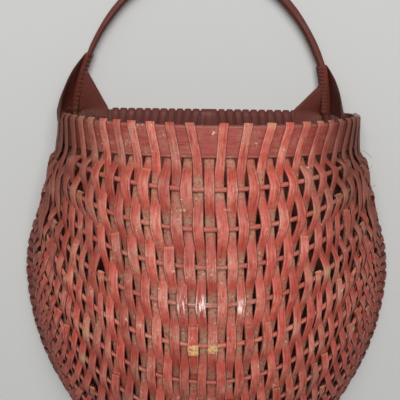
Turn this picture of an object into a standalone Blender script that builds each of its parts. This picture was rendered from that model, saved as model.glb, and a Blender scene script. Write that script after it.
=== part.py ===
"""Splint wall basket: a rib basket with one flat side, hung on a peg by its fixed bow handle.

Metres, +Z up. The basket faces -Y, the wall is at +Y, and the origin is the peg seat, under the handle's crown.
Run with: blender --background --python part.py
"""

import bmesh
import bpy
from math import asin, atan2, cos, hypot, pi, sin
from mathutils import Vector

# The bent oak rods and the rim band
ROD_DIAMETER = 0.0093
BAND_HEIGHT = 0.028
BAND_THICKNESS = 0.003
RIB_DIAMETER = 0.0042

# The handle and the frame hoop, one egg-shaped rod in the wall plane
HANDLE_RISE = 0.137  # rim top to the peg seat
BOW_CENTRE_DROP = 0.040  # the bow is half an ellipse centred this far under the rim top
BODY_WIDTH = 0.366
WIDEST_DROP = 0.165  # rim top to the widest level
BODY_DROP = 0.390  # rim top to the bottom of the hoop
SHOULDER_POWER = 1.1  # above 1, the rod swells out under the rim a little later

# The D-shaped rim and the belly in front of the wall plane
RIM_WIDTH = 0.288
EAR_INSET = 0.018  # the rod crosses the rim this far in from the rim's sides
RIM_DEPTH = 0.1235
RIM_CORNER_DEPTH = 0.012  # where the front curve of the rim turns into its back corner
RIM_CORNER_WIDTH = 0.015
BELLY_DEPTH = 0.140
BELLY_DROP = 0.150
RIB_WIDTH_POWER = 2.2  # the ribs' widths go from the rim's to the hoop's, slowly at first
RIB_CENTRE_POWER = 1.3  # and so do the distances from the ears where they are widest

# The ribs, counted from the front rim (0) round the bottom to the hoop (12) and up the back to the back rim (18)
FRONT_RIBS = 11
BACK_RIBS = 5
FIRST_RIB_DROP = 0.040  # middle of the band to the first rib
UPPER_RIB_PITCH = 0.033
UPPER_RIBS = 4
PRIMARY_EVERY = 3  # every third rib reaches the ears, the two between are pointed fillers
FILLER_SHARE = 0.72  # how much of the way to the ear a filler rib goes
FILLER_END = 0.12  # and past its last splint, in pitches of the weave
RIB_SEAT = 0.64  # a primary rib runs on into the lashing, to this share of the way from the ear's centre to the weave

# The splints
SPLINT_WIDTH = 0.0064
SPLINT_THICKNESS = 0.0008
SPLINT_GAP = 0.0006  # between neighbours on a rib
CLEARANCE = 0.0003
RIB_CLEARANCE = 0.00045  # between a splint and the rib or rod that it bends round
INSIDE_ALLOWANCE = 0.0004  # a splint inside a bend rides a little higher than one outside it
TAIL = 0.005  # how far a splint's cut end runs past its last rib
STEEPEST = 0.6  # the steepest way from one side to the other, in radians
ROOM = 0.018  # a splint keeps straight where its next line is nearer to the hoop
TURN_WIDTH = 0.6  # a splint twists narrower where it turns back on a rib
HOOK_LENGTH = 0.009  # how far a splint's end comes down inside the back rim

# The lashed ears
EAR_UP = 0.052
EAR_BELLY_UP = 0.036  # how far over the rim the lashing is still broad
EAR_BELLY_OUT = 0.016
EAR_BELLY_IN = 0.008
EAR_ALONG_RIM = 0.040
EAR_ALONG_BACK = 0.0265
EAR_TO_WEAVE = 0.046  # from the ear's centre to the weave, on the upper ribs
EAR_DOWN = 0.066  # under the rim top, on the hoop
EAR_BACK_SLOPE = 0.020  # the weave stops further off on the flat back
EAR_UNDER_BAND = 0.002
LASHING = 0.0014  # the lashing's thickness over a rod or the band
BAND_CLEARANCE = 0.0004  # more than the rod's, so that the rod's and the band's channels run into each other

# How many straight stretches draw each curve, and how many sides each rod has
QUARTER_STEPS = 12
SHOULDER_STEPS = 7
HANDLE_STEPS = 14
CORNER_STEPS = 8
WOVEN_CORNER_STEPS = 3  # how many of them the weave may use
RIB_STEPS = 10
RIB_END_STEPS = 5
BACK_RIM_STEPS = 6
PROFILE_STEPS = 600
HOOP_BENDS = 4
ROD_SIDES = 8
RIB_SIDES = 6

ROD = ROD_DIAMETER / 2
RIB = RIB_DIAMETER / 2
RIM_TOP = -HANDLE_RISE
BAND_MIDDLE = RIM_TOP - BAND_HEIGHT / 2
EAR_X = RIM_WIDTH / 2 - EAR_INSET
BACK_Y = ROD + BAND_THICKNESS / 2 + 2 * CLEARANCE
HOOP = FRONT_RIBS + 1
BACK_RIM = HOOP + BACK_RIBS + 1
BOTTOM = RIM_TOP - BODY_DROP


def clear_scene():
    for obj in list(bpy.data.objects):
        bpy.data.objects.remove(obj)


def material(name, color, roughness):
    made = bpy.data.materials.new(name)
    made.use_nodes = True
    shader = made.node_tree.nodes["Principled BSDF"]
    shader.inputs["Base Color"].default_value = (*color, 1)
    shader.inputs["Roughness"].default_value = roughness
    shader.inputs["Metallic"].default_value = 0
    made.diffuse_color = (*color, 1)
    return made


def add_object(name, data, mat, collection):
    obj = bpy.data.objects.new(name, data)
    obj.data.materials.append(mat)
    collection.objects.link(obj)
    return obj


# Lines of the frame: each is a list of points on the right half, from the middle to the ear


def line_length(line):
    return sum((b - a).length for a, b in zip(line, line[1:]))


def bow_half_width(z):
    """Half the width of the rod's outline at height z above the rim."""
    rise = HANDLE_RISE + ROD + BOW_CENTRE_DROP
    at_rim = (1 - (BOW_CENTRE_DROP / rise) ** 2) ** 0.5
    share = (z - RIM_TOP + BOW_CENTRE_DROP) / rise
    return EAR_X / at_rim * max(0, 1 - share * share) ** 0.5


def hoop_half_width(z):
    """Half the width of the rod's outline at height z below the rim."""
    down = RIM_TOP - z
    if down < BAND_HEIGHT:
        return bow_half_width(z)
    if down < WIDEST_DROP:
        start = bow_half_width(RIM_TOP - BAND_HEIGHT)
        share = (down - BAND_HEIGHT) / (WIDEST_DROP - BAND_HEIGHT)
        return start + (BODY_WIDTH / 2 - start) * sin(pi / 2 * share**SHOULDER_POWER)
    share = (down - WIDEST_DROP) / (BODY_DROP - WIDEST_DROP)
    return BODY_WIDTH / 2 * max(0, 1 - share * share) ** 0.5


def hoop_line():
    """The lower half of the rod, from the bottom to the ear."""
    points = []
    for i in range(QUARTER_STEPS + 1):
        angle = pi / 2 * i / QUARTER_STEPS
        z = RIM_TOP - WIDEST_DROP - (BODY_DROP - WIDEST_DROP) * cos(angle)
        points.append(Vector((hoop_half_width(z), 0, z)))
    for i in range(1, SHOULDER_STEPS + 1):
        z = RIM_TOP - WIDEST_DROP * (1 - i / SHOULDER_STEPS)
        points.append(Vector((hoop_half_width(z), 0, z)))
    return points


def handle_line():
    """The bow above the rim, from the ear to the crown."""
    points = []
    rise = HANDLE_RISE + ROD + BOW_CENTRE_DROP
    start = asin(BOW_CENTRE_DROP / rise)
    for i in range(1, HANDLE_STEPS + 1):
        angle = start + (pi / 2 - start) * i / HANDLE_STEPS
        z = RIM_TOP - BOW_CENTRE_DROP + rise * sin(angle)
        points.append(Vector((bow_half_width(z), 0, z)))
    return points


def rim_front_line():
    points = []
    for i in range(QUARTER_STEPS + 1):
        angle = pi / 2 * i / QUARTER_STEPS
        depth = RIM_CORNER_DEPTH + (RIM_DEPTH - RIM_CORNER_DEPTH) * cos(angle)
        points.append(Vector((RIM_WIDTH / 2 * sin(angle), -depth, BAND_MIDDLE)))
    return points


def rim_corner_line():
    points = []
    for i in range(1, CORNER_STEPS + 1):
        angle = pi / 2 * i / CORNER_STEPS
        x = RIM_WIDTH / 2 - RIM_CORNER_WIDTH * (1 - cos(angle))
        y = -RIM_CORNER_DEPTH + (RIM_CORNER_DEPTH + BACK_Y) * sin(angle)
        points.append(Vector((x, y, BAND_MIDDLE)))
    return points


def belly_profile():
    """Places of the front ribs on the middle line, as (depth, drop below the band's middle)."""
    top_reach = (BELLY_DROP - BAND_HEIGHT / 2) / (1 - (RIM_DEPTH / BELLY_DEPTH) ** 2) ** 0.5
    fine = []
    for i in range(PROFILE_STEPS + 1):
        drop = BAND_HEIGHT / 2 + (BODY_DROP - BAND_HEIGHT / 2) * sin(pi / 2 * i / PROFILE_STEPS)
        reach = top_reach if drop < BELLY_DROP else BODY_DROP - BELLY_DROP
        depth = BELLY_DEPTH * max(0, 1 - ((drop - BELLY_DROP) / reach) ** 2) ** 0.5
        fine.append(Vector((depth, drop - BAND_HEIGHT / 2)))
    upper = [FIRST_RIB_DROP + UPPER_RIB_PITCH * i for i in range(UPPER_RIBS)]
    length = sum((b - a).length for a, b in zip(fine, fine[1:]))
    lower_pitch = (length - upper[-1]) / (FRONT_RIBS - UPPER_RIBS + 1)
    wanted = upper + [upper[-1] + lower_pitch * (i + 1) for i in range(FRONT_RIBS - UPPER_RIBS)]
    places = []
    run = 0
    for a, b in zip(fine, fine[1:]):
        run += (b - a).length
        if len(places) < len(wanted) and run >= wanted[len(places)]:
            places.append(b)
    return places


def ear_to_ear_line(turn, reach, widest, centre, ear_x, plane_y):
    """A rib in the plane that turns by this angle about the ears' axis: half an oval, drawn in to the ear."""
    points = []
    for i in range(RIB_STEPS + 1):
        angle = pi / 2 * i / RIB_STEPS
        across = widest * sin(angle)
        out = centre + (reach - centre) * cos(angle)
        points.append((across, out))
    for i in range(1, RIB_END_STEPS + 1):
        out = centre * (1 - i / RIB_END_STEPS)
        points.append((ear_x + (widest - ear_x) * sin(pi / 2 * out / centre), out))
    return [Vector((x, plane_y - out * cos(turn), BAND_MIDDLE - out * sin(turn))) for x, out in points]


def back_line(share):
    """A rib in the flat back, this share of the way from the hoop up to the back rim."""
    hoop = hoop_line()
    length = line_length(hoop)
    points = []
    run = 0
    for before, here in zip([hoop[0]] + hoop, hoop):
        run += (here - before).length
        on_rim = Vector((EAR_X * run / length, BACK_Y, BAND_MIDDLE))
        points.append(here.lerp(on_rim, share))
    return points


def frame_lines():
    """One line for every place that a splint crosses, from the front rim to the back rim."""
    lines = [rim_front_line() + rim_corner_line()[:WOVEN_CORNER_STEPS]]
    hoop_centre = WIDEST_DROP - BAND_HEIGHT / 2
    for depth, drop in belly_profile():
        turn = atan2(drop, depth)
        share = turn / (pi / 2)
        widest = RIM_WIDTH / 2 + (BODY_WIDTH - RIM_WIDTH) / 2 * share**RIB_WIDTH_POWER
        centre = RIM_CORNER_DEPTH + (hoop_centre - RIM_CORNER_DEPTH) * share**RIB_CENTRE_POWER
        lines.append(ear_to_ear_line(turn, hypot(depth, drop), widest, centre, EAR_X, 0))
    lines.append(hoop_line())
    lines += [back_line(i / (BACK_RIBS + 1)) for i in range(1, BACK_RIBS + 1)]
    steps = range(BACK_RIM_STEPS + 1)
    lines.append([Vector((EAR_X * i / BACK_RIM_STEPS, BACK_Y, BAND_MIDDLE)) for i in steps])
    return lines


def place_on(line, along):
    """The point this far along a line from the middle; left of the middle is negative."""
    side = -1 if along < 0 else 1
    left = abs(along)
    for a, b in zip(line, line[1:]):
        step = (b - a).length
        if left <= step:
            break
        left -= step
    point = a + (b - a) * (left / step)
    return Vector((point.x * side, point.y, point.z))


# The plan of the weave

LINES = frame_lines()


def weave_reach(line):
    """How far from the ear's end of a line the weave stops."""
    if line == 0:
        return EAR_ALONG_RIM
    if line < HOOP:
        return EAR_TO_WEAVE + (EAR_DOWN - EAR_TO_WEAVE) * min(1, line / (HOOP - PRIMARY_EVERY))
    on_hoop = EAR_DOWN + BAND_HEIGHT / 2
    if line == HOOP:
        return on_hoop
    return on_hoop + EAR_BACK_SLOPE + (EAR_ALONG_BACK - on_hoop - EAR_BACK_SLOPE) * (line - HOOP) / (BACK_RIM - HOOP)


FREE_LENGTH = [line_length(points) - weave_reach(line) for line, points in enumerate(LINES)]

# Each row is a splint that goes down and comes back, given by the first and the last line that it crosses, from the
# middle of the basket to the ear. The rows that miss the rims are turned back on a rib.
ROWS = [(0, BACK_RIM)] * 4 + [(0, 17), (0, BACK_RIM)]
ROWS += [(4, 14), (0, 16), (2, 15), (0, BACK_RIM), (1, 13), (0, 16), (5, 14), (0, 15)]
ROWS += [(3, 15), (0, BACK_RIM), (3, 15), (0, BACK_RIM), (6, 15)]


def is_primary(line):
    return line % PRIMARY_EVERY == 0


def present(line):
    return [i for i, (first, last) in enumerate(ROWS) if first <= line <= last]


def pitch(line):
    return FREE_LENGTH[line] / (2 * len(present(line)) + 0.5)


def place_number(line, row, coming_back):
    """How many places from the middle a row crosses a line."""
    before = sum(1 for i in present(line) if i < row)
    return 2 * before + (2 if coming_back else 1)


def crosses(line, row):
    if is_primary(line):
        return True
    first_filler = line - line % PRIMARY_EVERY + 1
    anchor = max(first_filler, ROWS[row][0])
    share = place_number(anchor, row, True) / (2 * len(present(anchor)) + 0.5)
    return share <= FILLER_SHARE


def splint_width(line):
    return min(SPLINT_WIDTH, pitch(line) - SPLINT_GAP)


class Crossing:
    """Where a splint crosses a line: the point, the way across the splint and the way outwards."""

    def __init__(self, line, along):
        half = splint_width(line) / 2
        left = place_on(LINES[line], along - half)
        right = place_on(LINES[line], along + half)
        self.point = (left + right) / 2
        self.across = (right - left).normalized()
        share = along / FREE_LENGTH[line]
        self.before = self.way(line - 1, line, share)
        self.after = self.way(line, line + 1, share)
        self.on = (self.before + self.after).normalized()
        self.out = self.on.cross(self.across).normalized()
        self.half = half

    def way(self, line, following, share):
        if line < 0:
            return Vector((0, 0, -1))
        if following > BACK_RIM:
            return Vector((0, 0, 1))
        start = place_on(LINES[line], share * FREE_LENGTH[line])
        end = place_on(LINES[following], share * FREE_LENGTH[following])
        return (end - start).normalized()

    def edge_points(self, offset, share=1):
        half = self.across * self.half * share
        return self.point + offset - half, self.point + offset + half


def lift(radius, angle=0):
    """How far from a rod's centre a splint's middle runs, where it bends round it by this angle."""
    return (radius + SPLINT_THICKNESS / 2 + RIB_CLEARANCE) / cos(angle / 2)


def slope(line, along, other):
    """How steeply a splint changes sides between this line and another."""
    here = place_on(LINES[line], along)
    there = place_on(LINES[other], along / FREE_LENGTH[line] * FREE_LENGTH[other])
    rise = lift(ROD if line == HOOP else RIB) + lift(ROD if other == HOOP else RIB)
    return min(STEEPEST, rise / (there - here).length)


def steepness(line, along, step):
    """Twice the slope of a splint, on its steeper side, between this line and the ones that many lines away."""
    near = [k for k in (line - step, line + step) if 0 <= k <= BACK_RIM]
    return 2 * max(slope(line, along, k) for k in near)


def cross_rib(line, along, outside, step=1):
    at = Crossing(line, along)
    reach = lift(RIB, steepness(line, along, step))
    return [at.edge_points(at.out * (reach if outside else -reach - INSIDE_ALLOWANCE))]


def roomy(line, along):
    """Is there room for a bend here, clear of the rim band and the hoop?"""
    here = place_on(LINES[line], abs(along))
    to_hoop = min((here - (a + b) / 2).length for a, b in zip(LINES[HOOP], LINES[HOOP][1:]))
    return here.z < BAND_MIDDLE - BAND_HEIGHT and to_hoop > ROOM


def pass_filler(line, along, from_outside):
    """Where a splint goes by beyond a filler rib's end, on its way through from one primary rib to the next."""
    at = Crossing(line, along)
    step = line % PRIMARY_EVERY
    level = 1 - 2 * step / PRIMARY_EVERY
    return [at.edge_points(at.out * lift(RIB) * (level if from_outside else -level))]


def cross_hoop(along, outside, step=1):
    at = Crossing(HOOP, along)
    front = at.before.cross(at.across).normalized()
    back = at.after.cross(at.across).normalized()
    if not outside:
        return [at.edge_points(at.out * -(lift(ROD, front.angle(back)) + INSIDE_ALLOWANCE))]
    front = (front - at.before * slope(HOOP, along, HOOP - step)).normalized()
    back = (back + at.after * slope(HOOP, along, HOOP + step)).normalized()
    turn = front.angle(back) / HOOP_BENDS
    normals = [front.slerp(back, i / HOOP_BENDS) for i in range(HOOP_BENDS + 1)]
    return [at.edge_points(n * lift(ROD, turn)) for n in normals]


def band_points(line, along, height, outside):
    """One pair of edge points beside the rim band, at this height from its middle."""
    at = Crossing(line, along)
    out = Vector((0, 0, -1 if line == 0 else 1)).cross(at.across).normalized()
    reach = BAND_THICKNESS / 2 + SPLINT_THICKNESS / 2 + CLEARANCE
    return at.edge_points(out * (reach if outside else -reach) + Vector((0, 0, height)))


OVER_BAND = BAND_HEIGHT / 2 + CLEARANCE + SPLINT_THICKNESS / 2
UNDER_BAND = -BAND_HEIGHT / 2


def loop_over_front(out_along, in_along):
    """From outside the band's lower edge, over its top, to inside its lower edge."""
    third = (in_along - out_along) / 3
    return [
        band_points(0, out_along, UNDER_BAND, True),
        band_points(0, out_along + third, OVER_BAND, True),
        band_points(0, in_along - third, OVER_BAND, False),
        band_points(0, in_along, UNDER_BAND, False),
    ]


def hook_over_back(out_along, in_along):
    """From inside, where the splint's end hooks over the back rim, to outside its lower edge."""
    third = (in_along - out_along) / 3
    hook = BAND_HEIGHT / 2 - HOOK_LENGTH
    return [
        band_points(BACK_RIM, in_along, hook, False),
        band_points(BACK_RIM, in_along - third, OVER_BAND, False),
        band_points(BACK_RIM, out_along + third, OVER_BAND, True),
        band_points(BACK_RIM, out_along, UNDER_BAND, True),
    ]


def end_inside_band(line, along):
    """A splint's end that stops inside the band, just under the loop of its own or its neighbour's end."""
    stop = BAND_HEIGHT / 2 - HOOK_LENGTH - 2 * CLEARANCE - SPLINT_THICKNESS
    return [band_points(line, along, UNDER_BAND, False), band_points(line, along, stop, False)]


def turn_on_rib(line, out_along, in_along, going_out):
    """Round a rib, from the place of the way down to the place of the way back."""
    start, middle, end = (Crossing(line, a) for a in (out_along, (out_along + in_along) / 2, in_along))
    reach = lift(RIB, pi / 2)
    side = 1 if going_out else -1
    return [
        start.edge_points(start.out * side * reach),
        middle.edge_points(middle.on * -reach, TURN_WIDTH),
        end.edge_points(end.out * -side * reach),
    ]


def tail_past(line, along, outside):
    """The last stretch of a splint that is cut just past the back rib where it ends."""
    at = Crossing(line, along)
    reach = lift(RIB) if outside else -lift(RIB) - INSIDE_ALLOWANCE
    return [at.edge_points(at.out * reach + at.after * TAIL)]


def strand(row, side, coming_back):
    """The pairs of edge points of one way of a row, from its first line to its last, without its turn."""
    first, last = ROWS[row]
    points = []
    for line in range(first + 1, min(last + 1, BACK_RIM)):
        along = side * place_number(line, row, coming_back) * pitch(line)
        outside = (line % 2 == 0) != coming_back
        fillers = 1 if crosses(min(line + 1, BACK_RIM - 1), row) else PRIMARY_EVERY
        if line == HOOP:
            points += cross_hoop(along, outside, fillers)
        elif crosses(line, row):
            points += cross_rib(line, along, outside, fillers)
        elif roomy(line, along):
            points += pass_filler(line, along, (line - line % PRIMARY_EVERY) % 2 == coming_back)
    if last < BACK_RIM:
        points += tail_past(last, along, outside)
    return points


def row_points(row, side):
    """One splint: from its end on the last line up the basket's front, round, and down again."""
    first, last = ROWS[row]
    places = [side * place_number(first, row, back) * pitch(first) for back in (False, True)]
    turn = loop_over_front(*places) if first == 0 else turn_on_rib(first, *places, first % 2 == 0)
    down = strand(row, side, False)
    back = strand(row, side, True)
    if last == BACK_RIM:
        ends = [side * place_number(last, row, b) * pitch(last) for b in (False, True)]
        down += reversed(hook_over_back(*ends))
        back += end_inside_band(BACK_RIM, ends[1])
    return list(reversed(down)) + turn + back


def middle_points():
    """The single splint on the middle line, whose two ends are tucked inside the rims."""
    points = list(reversed(end_inside_band(0, 0)))
    for line in range(1, BACK_RIM):
        outside = line % 2 == 1
        points += cross_hoop(0, outside) if line == HOOP else cross_rib(line, 0, outside)
    return points + end_inside_band(BACK_RIM, 0)


# Solids


def ribbon(name, pairs, closed, thickness, mat, collection):
    """A strip through pairs of edge points, thickened with Solidify."""
    count = len(pairs)
    verts = [p for pair in pairs for p in pair]
    faces = []
    for i in range(count if closed else count - 1):
        j = (i + 1) % count
        faces.append((2 * i, 2 * i + 1, 2 * j + 1, 2 * j))
    mesh = bpy.data.meshes.new(name)
    mesh.from_pydata(verts, [], faces)
    obj = add_object(name, mesh, mat, collection)
    solid = obj.modifiers.new("Thickness", "SOLIDIFY")
    solid.thickness = thickness
    solid.offset = 0
    solid.use_even_offset = True
    return obj


def rod(name, points, radius, closed, sides, mat, collection):
    curve = bpy.data.curves.new(name, "CURVE")
    curve.dimensions = "3D"
    curve.bevel_depth = radius
    curve.bevel_resolution = sides // 2 - 2
    curve.use_fill_caps = True
    curve.twist_mode = "MINIMUM"
    spline = curve.splines.new("POLY")
    spline.points.add(len(points) - 1)
    for target, point in zip(spline.points, points):
        target.co = (*point, 1)
    spline.use_cyclic_u = closed
    return add_object(name, curve, mat, collection)


def both_halves(right_half):
    """A line from ear to ear, from its right half that starts in the middle."""
    left = [Vector((-p.x, p.y, p.z)) for p in reversed(right_half[1:])]
    return left + right_half


def cut_line(line, length):
    """A line's first stretch of this length."""
    kept = [line[0]]
    left = length
    for a, b in zip(line, line[1:]):
        step = (b - a).length
        if left <= step:
            kept.append(a + (b - a) * (left / step))
            break
        kept.append(b)
        left -= step
    return kept


def filler_length(line):
    """A filler rib stops near the outer edge of the last splint that it carries."""
    carried = [row for row in present(line) if crosses(line, row)]
    last = max(place_number(line, row, True) for row in carried)
    return (last + FILLER_END) * pitch(line)


def seated_length(line):
    return line_length(LINES[line]) - RIB_SEAT * weave_reach(line)


def rib_points(line):
    if is_primary(line):
        return both_halves(cut_line(LINES[line], seated_length(line)))
    return both_halves(cut_line(LINES[line], filler_length(line)))


def rod_outline():
    right = hoop_line() + handle_line()
    left = [Vector((-p.x, p.y, p.z)) for p in reversed(right[1:-1])]
    return right + left


def rim_pairs(height):
    right = rim_front_line() + rim_corner_line()
    left = [Vector((-p.x, p.y, p.z)) for p in reversed(right[1:])]
    half = Vector((0, 0, height / 2))
    return [(p - half, p + half) for p in right + left]


def ear_outline():
    """Points on the right ear's outside: sleeves on the handle and the hoop, and broad levels at the rim."""
    points = []
    top = RIM_TOP + EAR_UP
    bottom = RIM_TOP - EAR_DOWN
    for z, x in ((top, bow_half_width(top)), (bottom, hoop_half_width(bottom))):
        reach = ROD + LASHING
        for i in range(ROD_SIDES):
            angle = 2 * pi * i / ROD_SIDES
            points.append(Vector((x + reach * cos(angle), reach * sin(angle), z)))
    belly = RIM_TOP + EAR_BELLY_UP
    x = bow_half_width(belly)
    inside = BACK_Y + BAND_THICKNESS / 2 + LASHING
    for dx, y in ((-EAR_BELLY_IN, ROD), (-EAR_BELLY_IN, -ROD), (EAR_BELLY_OUT, -2 * ROD), (EAR_BELLY_OUT, ROD / 2)):
        points.append(Vector((x + dx, y, belly)))
    back_end = place_on(LINES[BACK_RIM], FREE_LENGTH[BACK_RIM]).x + 2 * CLEARANCE
    front_end = place_on(LINES[0], FREE_LENGTH[0]).y + 2 * CLEARANCE
    outer = BAND_THICKNESS / 2 + LASHING
    for z, front_z in (
        (RIM_TOP + LASHING, RIM_TOP + LASHING),
        (RIM_TOP - BAND_HEIGHT - LASHING, RIM_TOP - BAND_HEIGHT - EAR_UNDER_BAND),
    ):
        for p in rim_corner_line():
            away = Vector((p.x - RIM_WIDTH / 2 + RIM_CORNER_WIDTH, p.y + RIM_CORNER_DEPTH, 0)).normalized()
            points.append(Vector((p.x, p.y, z)) + away * outer)
        points.append(Vector((RIM_WIDTH / 2 + outer, front_end, front_z)))
        points.append(Vector((RIM_WIDTH / 2 - outer, front_end, front_z)))
        points.append(Vector((back_end, inside, z)))
        points.append(Vector((back_end, BACK_Y - outer, z)))
    return points


def ear(name, side, cutters, mat, collection):
    """The lashing round the handle, the rim and the rib ends, with a channel for each."""
    mesh = bpy.data.meshes.new(name)
    shape = bmesh.new()
    for p in ear_outline():
        shape.verts.new((p.x * side, p.y, p.z))
    hull = bmesh.ops.convex_hull(shape, input=shape.verts)
    bmesh.ops.delete(shape, geom=list(set(hull["geom_interior"] + hull["geom_unused"])), context="VERTS")
    bmesh.ops.recalc_face_normals(shape, faces=shape.faces)
    shape.to_mesh(mesh)
    shape.free()
    obj = add_object(name, mesh, mat, collection)
    for cutter in cutters:
        cut = obj.modifiers.new(cutter.name, "BOOLEAN")
        cut.operation = "DIFFERENCE"
        cut.solver = "EXACT"
        cut.object = cutter
    return obj


def as_mesh(curve_object, collection):
    """The same object made a mesh, which a Boolean modifier can use."""
    mesh = bpy.data.meshes.new_from_object(curve_object)
    made = bpy.data.objects.new(curve_object.name, mesh)
    bpy.data.objects.remove(curve_object)
    collection.objects.link(made)
    return made


def channel_cutters(mat, collection):
    """The rods and the band, with clearance, that run through the lashing."""
    made = [rod("hoop_channel", rod_outline(), ROD + CLEARANCE, True, ROD_SIDES, mat, collection)]
    tall = rim_pairs(BAND_HEIGHT + 2 * BAND_CLEARANCE)
    made.append(ribbon("band_channel", tall, True, BAND_THICKNESS + 2 * BAND_CLEARANCE, mat, collection))
    for line in range(PRIMARY_EVERY, BACK_RIM, PRIMARY_EVERY):
        if line == HOOP:
            continue
        points = both_halves(cut_line(LINES[line], seated_length(line) + CLEARANCE))
        made.append(rod(f"rib_channel_{line:02d}", points, RIB + CLEARANCE, False, RIB_SIDES, mat, collection))
    made = [as_mesh(cutter, collection) if cutter.type == "CURVE" else cutter for cutter in made]
    for cutter in made:
        cutter.hide_render = True
        cutter.hide_viewport = True
    return made


def main():
    clear_scene()
    collection = bpy.data.collections.new("splint_wall_basket")
    bpy.context.scene.collection.children.link(collection)
    rod_red = material("painted_rod", (0.30, 0.07, 0.06), 0.55)
    band_red = material("painted_band", (0.33, 0.08, 0.07), 0.6)
    rib_red = material("painted_rib", (0.48, 0.20, 0.16), 0.65)
    splint_red = material("painted_splint", (0.42, 0.11, 0.09), 0.6)
    rod("handle_hoop", rod_outline(), ROD, True, ROD_SIDES, rod_red, collection)
    ribbon("rim_hoop", rim_pairs(BAND_HEIGHT), True, BAND_THICKNESS, band_red, collection)
    cutting = bpy.data.collections.new("cutters")
    bpy.context.scene.collection.children.link(cutting)
    cutters = channel_cutters(rod_red, cutting)
    for side, word in ((-1, "left"), (1, "right")):
        ear(f"ear_lashing_{word}", side, cutters, rod_red, collection)
    for line in range(1, BACK_RIM):
        if line == HOOP:
            continue
        name = f"front_rib_{line:02d}" if line < HOOP else f"back_rib_{line - HOOP}"
        rod(name, rib_points(line), RIB, False, RIB_SIDES, rib_red, collection)
    ribbon("splint_middle", middle_points(), False, SPLINT_THICKNESS, splint_red, collection)
    for row in range(len(ROWS)):
        for side, word in ((-1, "left"), (1, "right")):
            name = f"splint_{word}_{row + 1:02d}"
            ribbon(name, row_points(row, side), False, SPLINT_THICKNESS, splint_red, collection)


main()
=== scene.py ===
"""Splint wall basket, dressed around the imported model: metres, +Z up, the wall at +Y, the peg seat at 0."""
from collections import namedtuple
from math import asin, atan2, cos, hypot, pi, radians, sin, tau
from random import Random

import bpy
from mathutils import Matrix, Vector


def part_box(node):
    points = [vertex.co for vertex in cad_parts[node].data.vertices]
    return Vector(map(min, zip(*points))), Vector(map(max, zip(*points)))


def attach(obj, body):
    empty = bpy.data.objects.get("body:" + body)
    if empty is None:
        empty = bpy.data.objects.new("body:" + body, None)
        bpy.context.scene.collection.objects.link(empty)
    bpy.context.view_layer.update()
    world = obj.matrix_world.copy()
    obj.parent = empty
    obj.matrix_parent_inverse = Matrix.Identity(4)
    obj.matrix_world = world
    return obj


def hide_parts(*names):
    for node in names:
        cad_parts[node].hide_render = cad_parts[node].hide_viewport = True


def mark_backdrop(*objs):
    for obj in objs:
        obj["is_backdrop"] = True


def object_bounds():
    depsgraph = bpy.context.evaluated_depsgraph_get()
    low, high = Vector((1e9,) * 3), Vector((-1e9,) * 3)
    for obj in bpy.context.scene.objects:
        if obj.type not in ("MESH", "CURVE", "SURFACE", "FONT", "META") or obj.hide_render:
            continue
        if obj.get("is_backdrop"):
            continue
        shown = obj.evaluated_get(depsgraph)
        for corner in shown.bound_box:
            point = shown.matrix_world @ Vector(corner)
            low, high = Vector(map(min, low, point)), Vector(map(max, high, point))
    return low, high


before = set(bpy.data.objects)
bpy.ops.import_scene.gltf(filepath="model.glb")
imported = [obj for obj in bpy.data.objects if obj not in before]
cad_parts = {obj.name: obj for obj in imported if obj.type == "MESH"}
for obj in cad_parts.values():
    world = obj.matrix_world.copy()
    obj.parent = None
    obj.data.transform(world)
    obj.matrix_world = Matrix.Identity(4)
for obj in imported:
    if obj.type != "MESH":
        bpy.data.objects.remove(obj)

cad_low, cad_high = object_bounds()

# The camera is a phone held a little over the rim and 0.7 m from the wall, tipped down at the belly. The
# picture cuts off the bow's crown and the basket's bottom, as the photograph does. Angles are in degrees.
RIM_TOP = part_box("rim_hoop")[1].z
EYE = Vector((-0.006, -0.714, RIM_TOP + 0.066))
CAMERA_TURN = 0.13
CAMERA_TIP = 12.4
CAMERA_ROLL = 0.8
camera_data = bpy.data.cameras.new("camera")
camera = bpy.data.objects.new("camera", camera_data)
bpy.context.scene.collection.objects.link(camera)
bpy.context.scene.camera = camera
camera_data.sensor_width = 36
camera_data.lens = 64.0
camera_data.clip_start = 0.01
camera.matrix_world = (
    Matrix.Translation(EYE)
    @ Matrix.Rotation(radians(CAMERA_TURN), 4, "Z")
    @ Matrix.Rotation(radians(90 - CAMERA_TIP), 4, "X")
    @ Matrix.Rotation(radians(CAMERA_ROLL), 4, "Z")
)

# A plain painted wall, matt and pale grey, just behind the basket's flat back, and a floor far below it. Seen
# from behind, the wall lets the eye and the light through, so that the back of the basket can be looked at.
MIDDLE_Z = -0.3
WALL_Y = cad_high.y + 0.0012
WALL_SIZE = 6.0
FLOOR_Z = -1.6


def linear(hex_colour):
    """An sRGB colour such as "c8c9c7", as the linear values that a shader takes."""
    parts = [int(hex_colour[i : i + 2], 16) / 255 for i in (0, 2, 4)]
    return tuple(c / 12.92 if c <= 0.04045 else ((c + 0.055) / 1.055) ** 2.4 for c in parts) + (1,)


def add_node(tree, kind, settings=None, links=None):
    """Adds a node with its settings, which are properties or input values, and links inputs to outputs."""
    node = tree.nodes.new(kind)
    for key, value in (settings or {}).items():
        if isinstance(key, str) and hasattr(node, key):
            setattr(node, key, value)
        else:
            node.inputs[key].default_value = value
    for key, output in (links or {}).items():
        tree.links.new(output, node.inputs[key])
    return node


def new_material(name):
    """An empty node material with its output."""
    made = bpy.data.materials.new(name)
    made.use_nodes = True
    made.node_tree.nodes.clear()
    return made, made.node_tree, made.node_tree.nodes.new("ShaderNodeOutputMaterial")


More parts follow.
